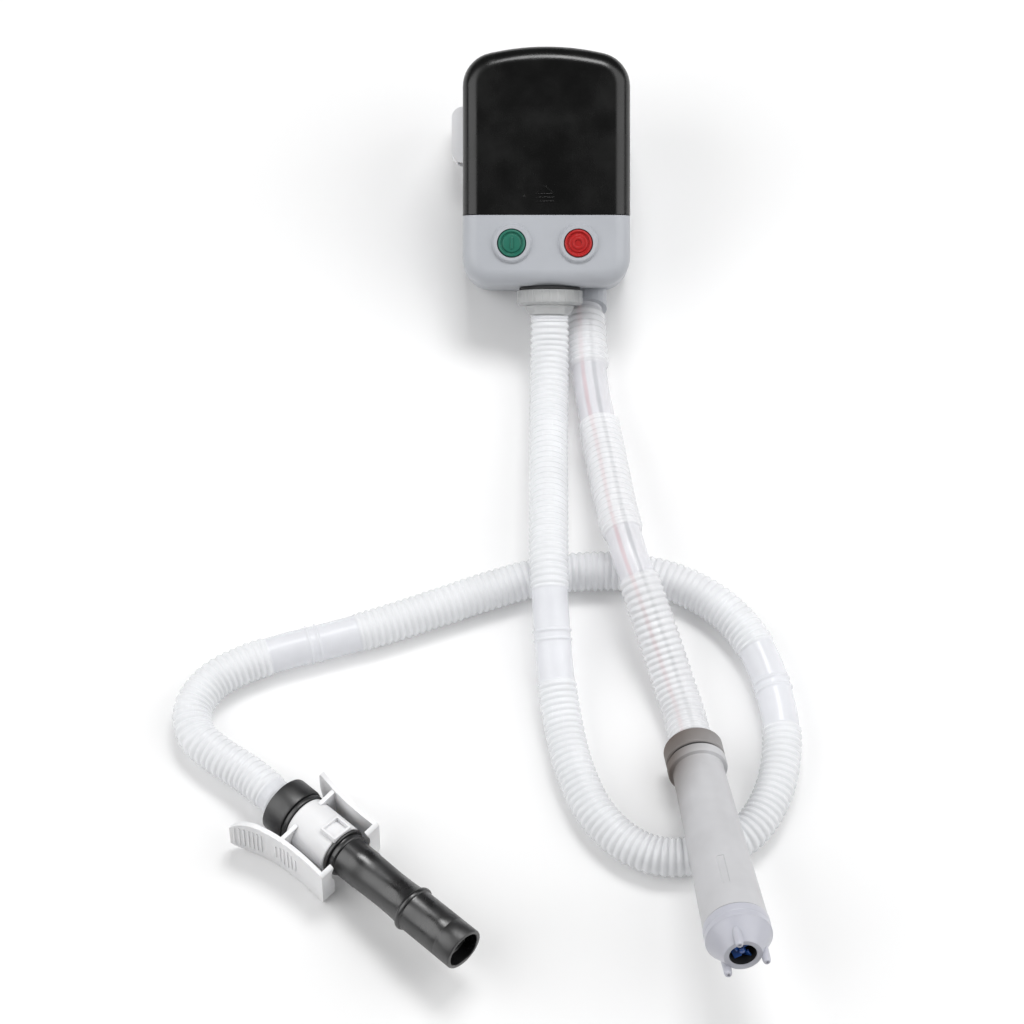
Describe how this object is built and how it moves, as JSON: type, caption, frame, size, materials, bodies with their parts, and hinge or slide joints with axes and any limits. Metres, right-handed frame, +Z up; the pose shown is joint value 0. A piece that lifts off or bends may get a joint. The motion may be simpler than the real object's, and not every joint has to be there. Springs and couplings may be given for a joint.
{
  "type": "battery liquid transfer pump",
  "caption": "Battery-powered liquid transfer pump with push-button head, submersible intake, corrugated hoses and clip-on nozzle, laid out on a table.",
  "frame": {"origin": "on the table, under the middle of the box around the head, intake and nozzle (hoses left out)", "axes": "+Z up from the table; +Y from the nozzle and intake end towards the top of the battery head; +X to the right as seen facing the buttons"},
  "size_m": [0.3185, 0.5364, 0.113],
  "materials": {
    "body": "satin light cool grey",
    "cover": "glossy black",
    "white": "satin white",
    "green": "glossy green",
    "red": "glossy red",
    "frosted": "frosted translucent",
    "hose": "milky translucent, corrugated",
    "taupe": "satin taupe",
    "barrel": "smoky translucent satin",
    "cap": "satin white with a violet cast",
    "blue": "glossy deep blue",
    "black": "semi-gloss black, scuffed",
    "rubber": "dull black",
    "steel": "plated",
    "board": "solder-masked board",
    "cell_jacket": "printed metal jacket, left plain",
    "lead_red": "wire insulation",
    "lead_black": "wire insulation"
  },
  "bodies": {
    "pump_body": {"rear_housing": "body", "front_panel": "body", "nozzle_holder": "white", "housing_screw_1": "steel", "housing_screw_2": "steel", "housing_screw_3": "steel", "housing_screw_4": "steel", "battery_tray": "white", "battery_cell_left": "cell_jacket", "battery_cell_right": "cell_jacket", "battery_spring_left": "steel", "battery_spring_right": "steel", "contact_plate_left": "steel", "contact_plate_right": "steel", "contact_plate_bridge": "steel", "switch_board": "board", "on_switch": "rubber", "off_switch": "rubber", "flow_manifold": "white", "suction_socket": "body", "outlet_washer": "rubber", "outlet_gasket": "rubber", "outlet_cuff": "frosted", "discharge_hose": "hose", "suction_hose": "hose", "motor_lead_red": "lead_red", "motor_lead_black": "lead_black", "collar_seal": "rubber", "intake_barrel": "barrel", "intake_cap": "cap", "motor_can": "steel", "motor_bulkhead": "white", "shaft_seal": "rubber", "nozzle_collar": "black", "nozzle_lip_ring": "black", "nozzle_core": "white", "clip_sleeve": "white", "clip_lock_tab": "white", "nozzle_tube": "black"},
    "cover": {"battery_cover": "cover"},
    "start_button": {"on_button": "green"},
    "stop_button": {"off_button": "red"},
    "nut": {"outlet_nut": "frosted"},
    "collar": {"intake_collar": "taupe"},
    "rotor": {"impeller": "blue", "motor_shaft": "steel"},
    "left_lever": {"clip_lever_left": "white"},
    "right_lever": {"clip_lever_right": "white"}
  },
  "joints": [
    {"name": "battery_cover_slide", "type": "slide", "parent": "pump_body", "child": "cover", "axis": [0, 0.8829, 0.4695], "range_m": [0, 0.06]},
    {"name": "on_button_press", "type": "slide", "parent": "pump_body", "child": "start_button", "axis": [0, 0.4695, -0.8829], "range_m": [0, 0.002], "stiffness_N_per_m": 400},
    {"name": "off_button_press", "type": "slide", "parent": "pump_body", "child": "stop_button", "axis": [0, 0.4695, -0.8829], "range_m": [0, 0.002], "stiffness_N_per_m": 400},
    {"name": "outlet_nut_turn", "type": "hinge", "parent": "pump_body", "child": "nut", "pos_m": [0.02697, 0.13217, 0.03615], "axis": [0, -0.8829, -0.4695], "range_deg": [0, 360]},
    {"name": "intake_collar_turn", "type": "hinge", "parent": "pump_body", "child": "collar", "pos_m": [0.09911, -0.12125, 0.01461], "axis": [0.1428, -0.9276, 0.3453], "range_deg": [0, 180]},
    {"name": "impeller_spin", "type": "hinge", "parent": "pump_body", "child": "rotor", "pos_m": [0.09911, -0.12125, 0.01461], "axis": [0.1428, -0.9276, 0.3453], "continuous": true},
    {"name": "clip_left_open", "type": "hinge", "parent": "pump_body", "child": "left_lever", "pos_m": [-0.10529, -0.17498, 0.01691], "axis": [0, 0, -1], "range_deg": [0, 8], "stiffness_Nm_per_rad": 2},
    {"name": "clip_right_open", "type": "hinge", "parent": "pump_body", "child": "right_lever", "pos_m": [-0.08674, -0.15564, 0.01691], "axis": [0, 0, 1], "range_deg": [0, 8], "stiffness_Nm_per_rad": 2}
  ]
}
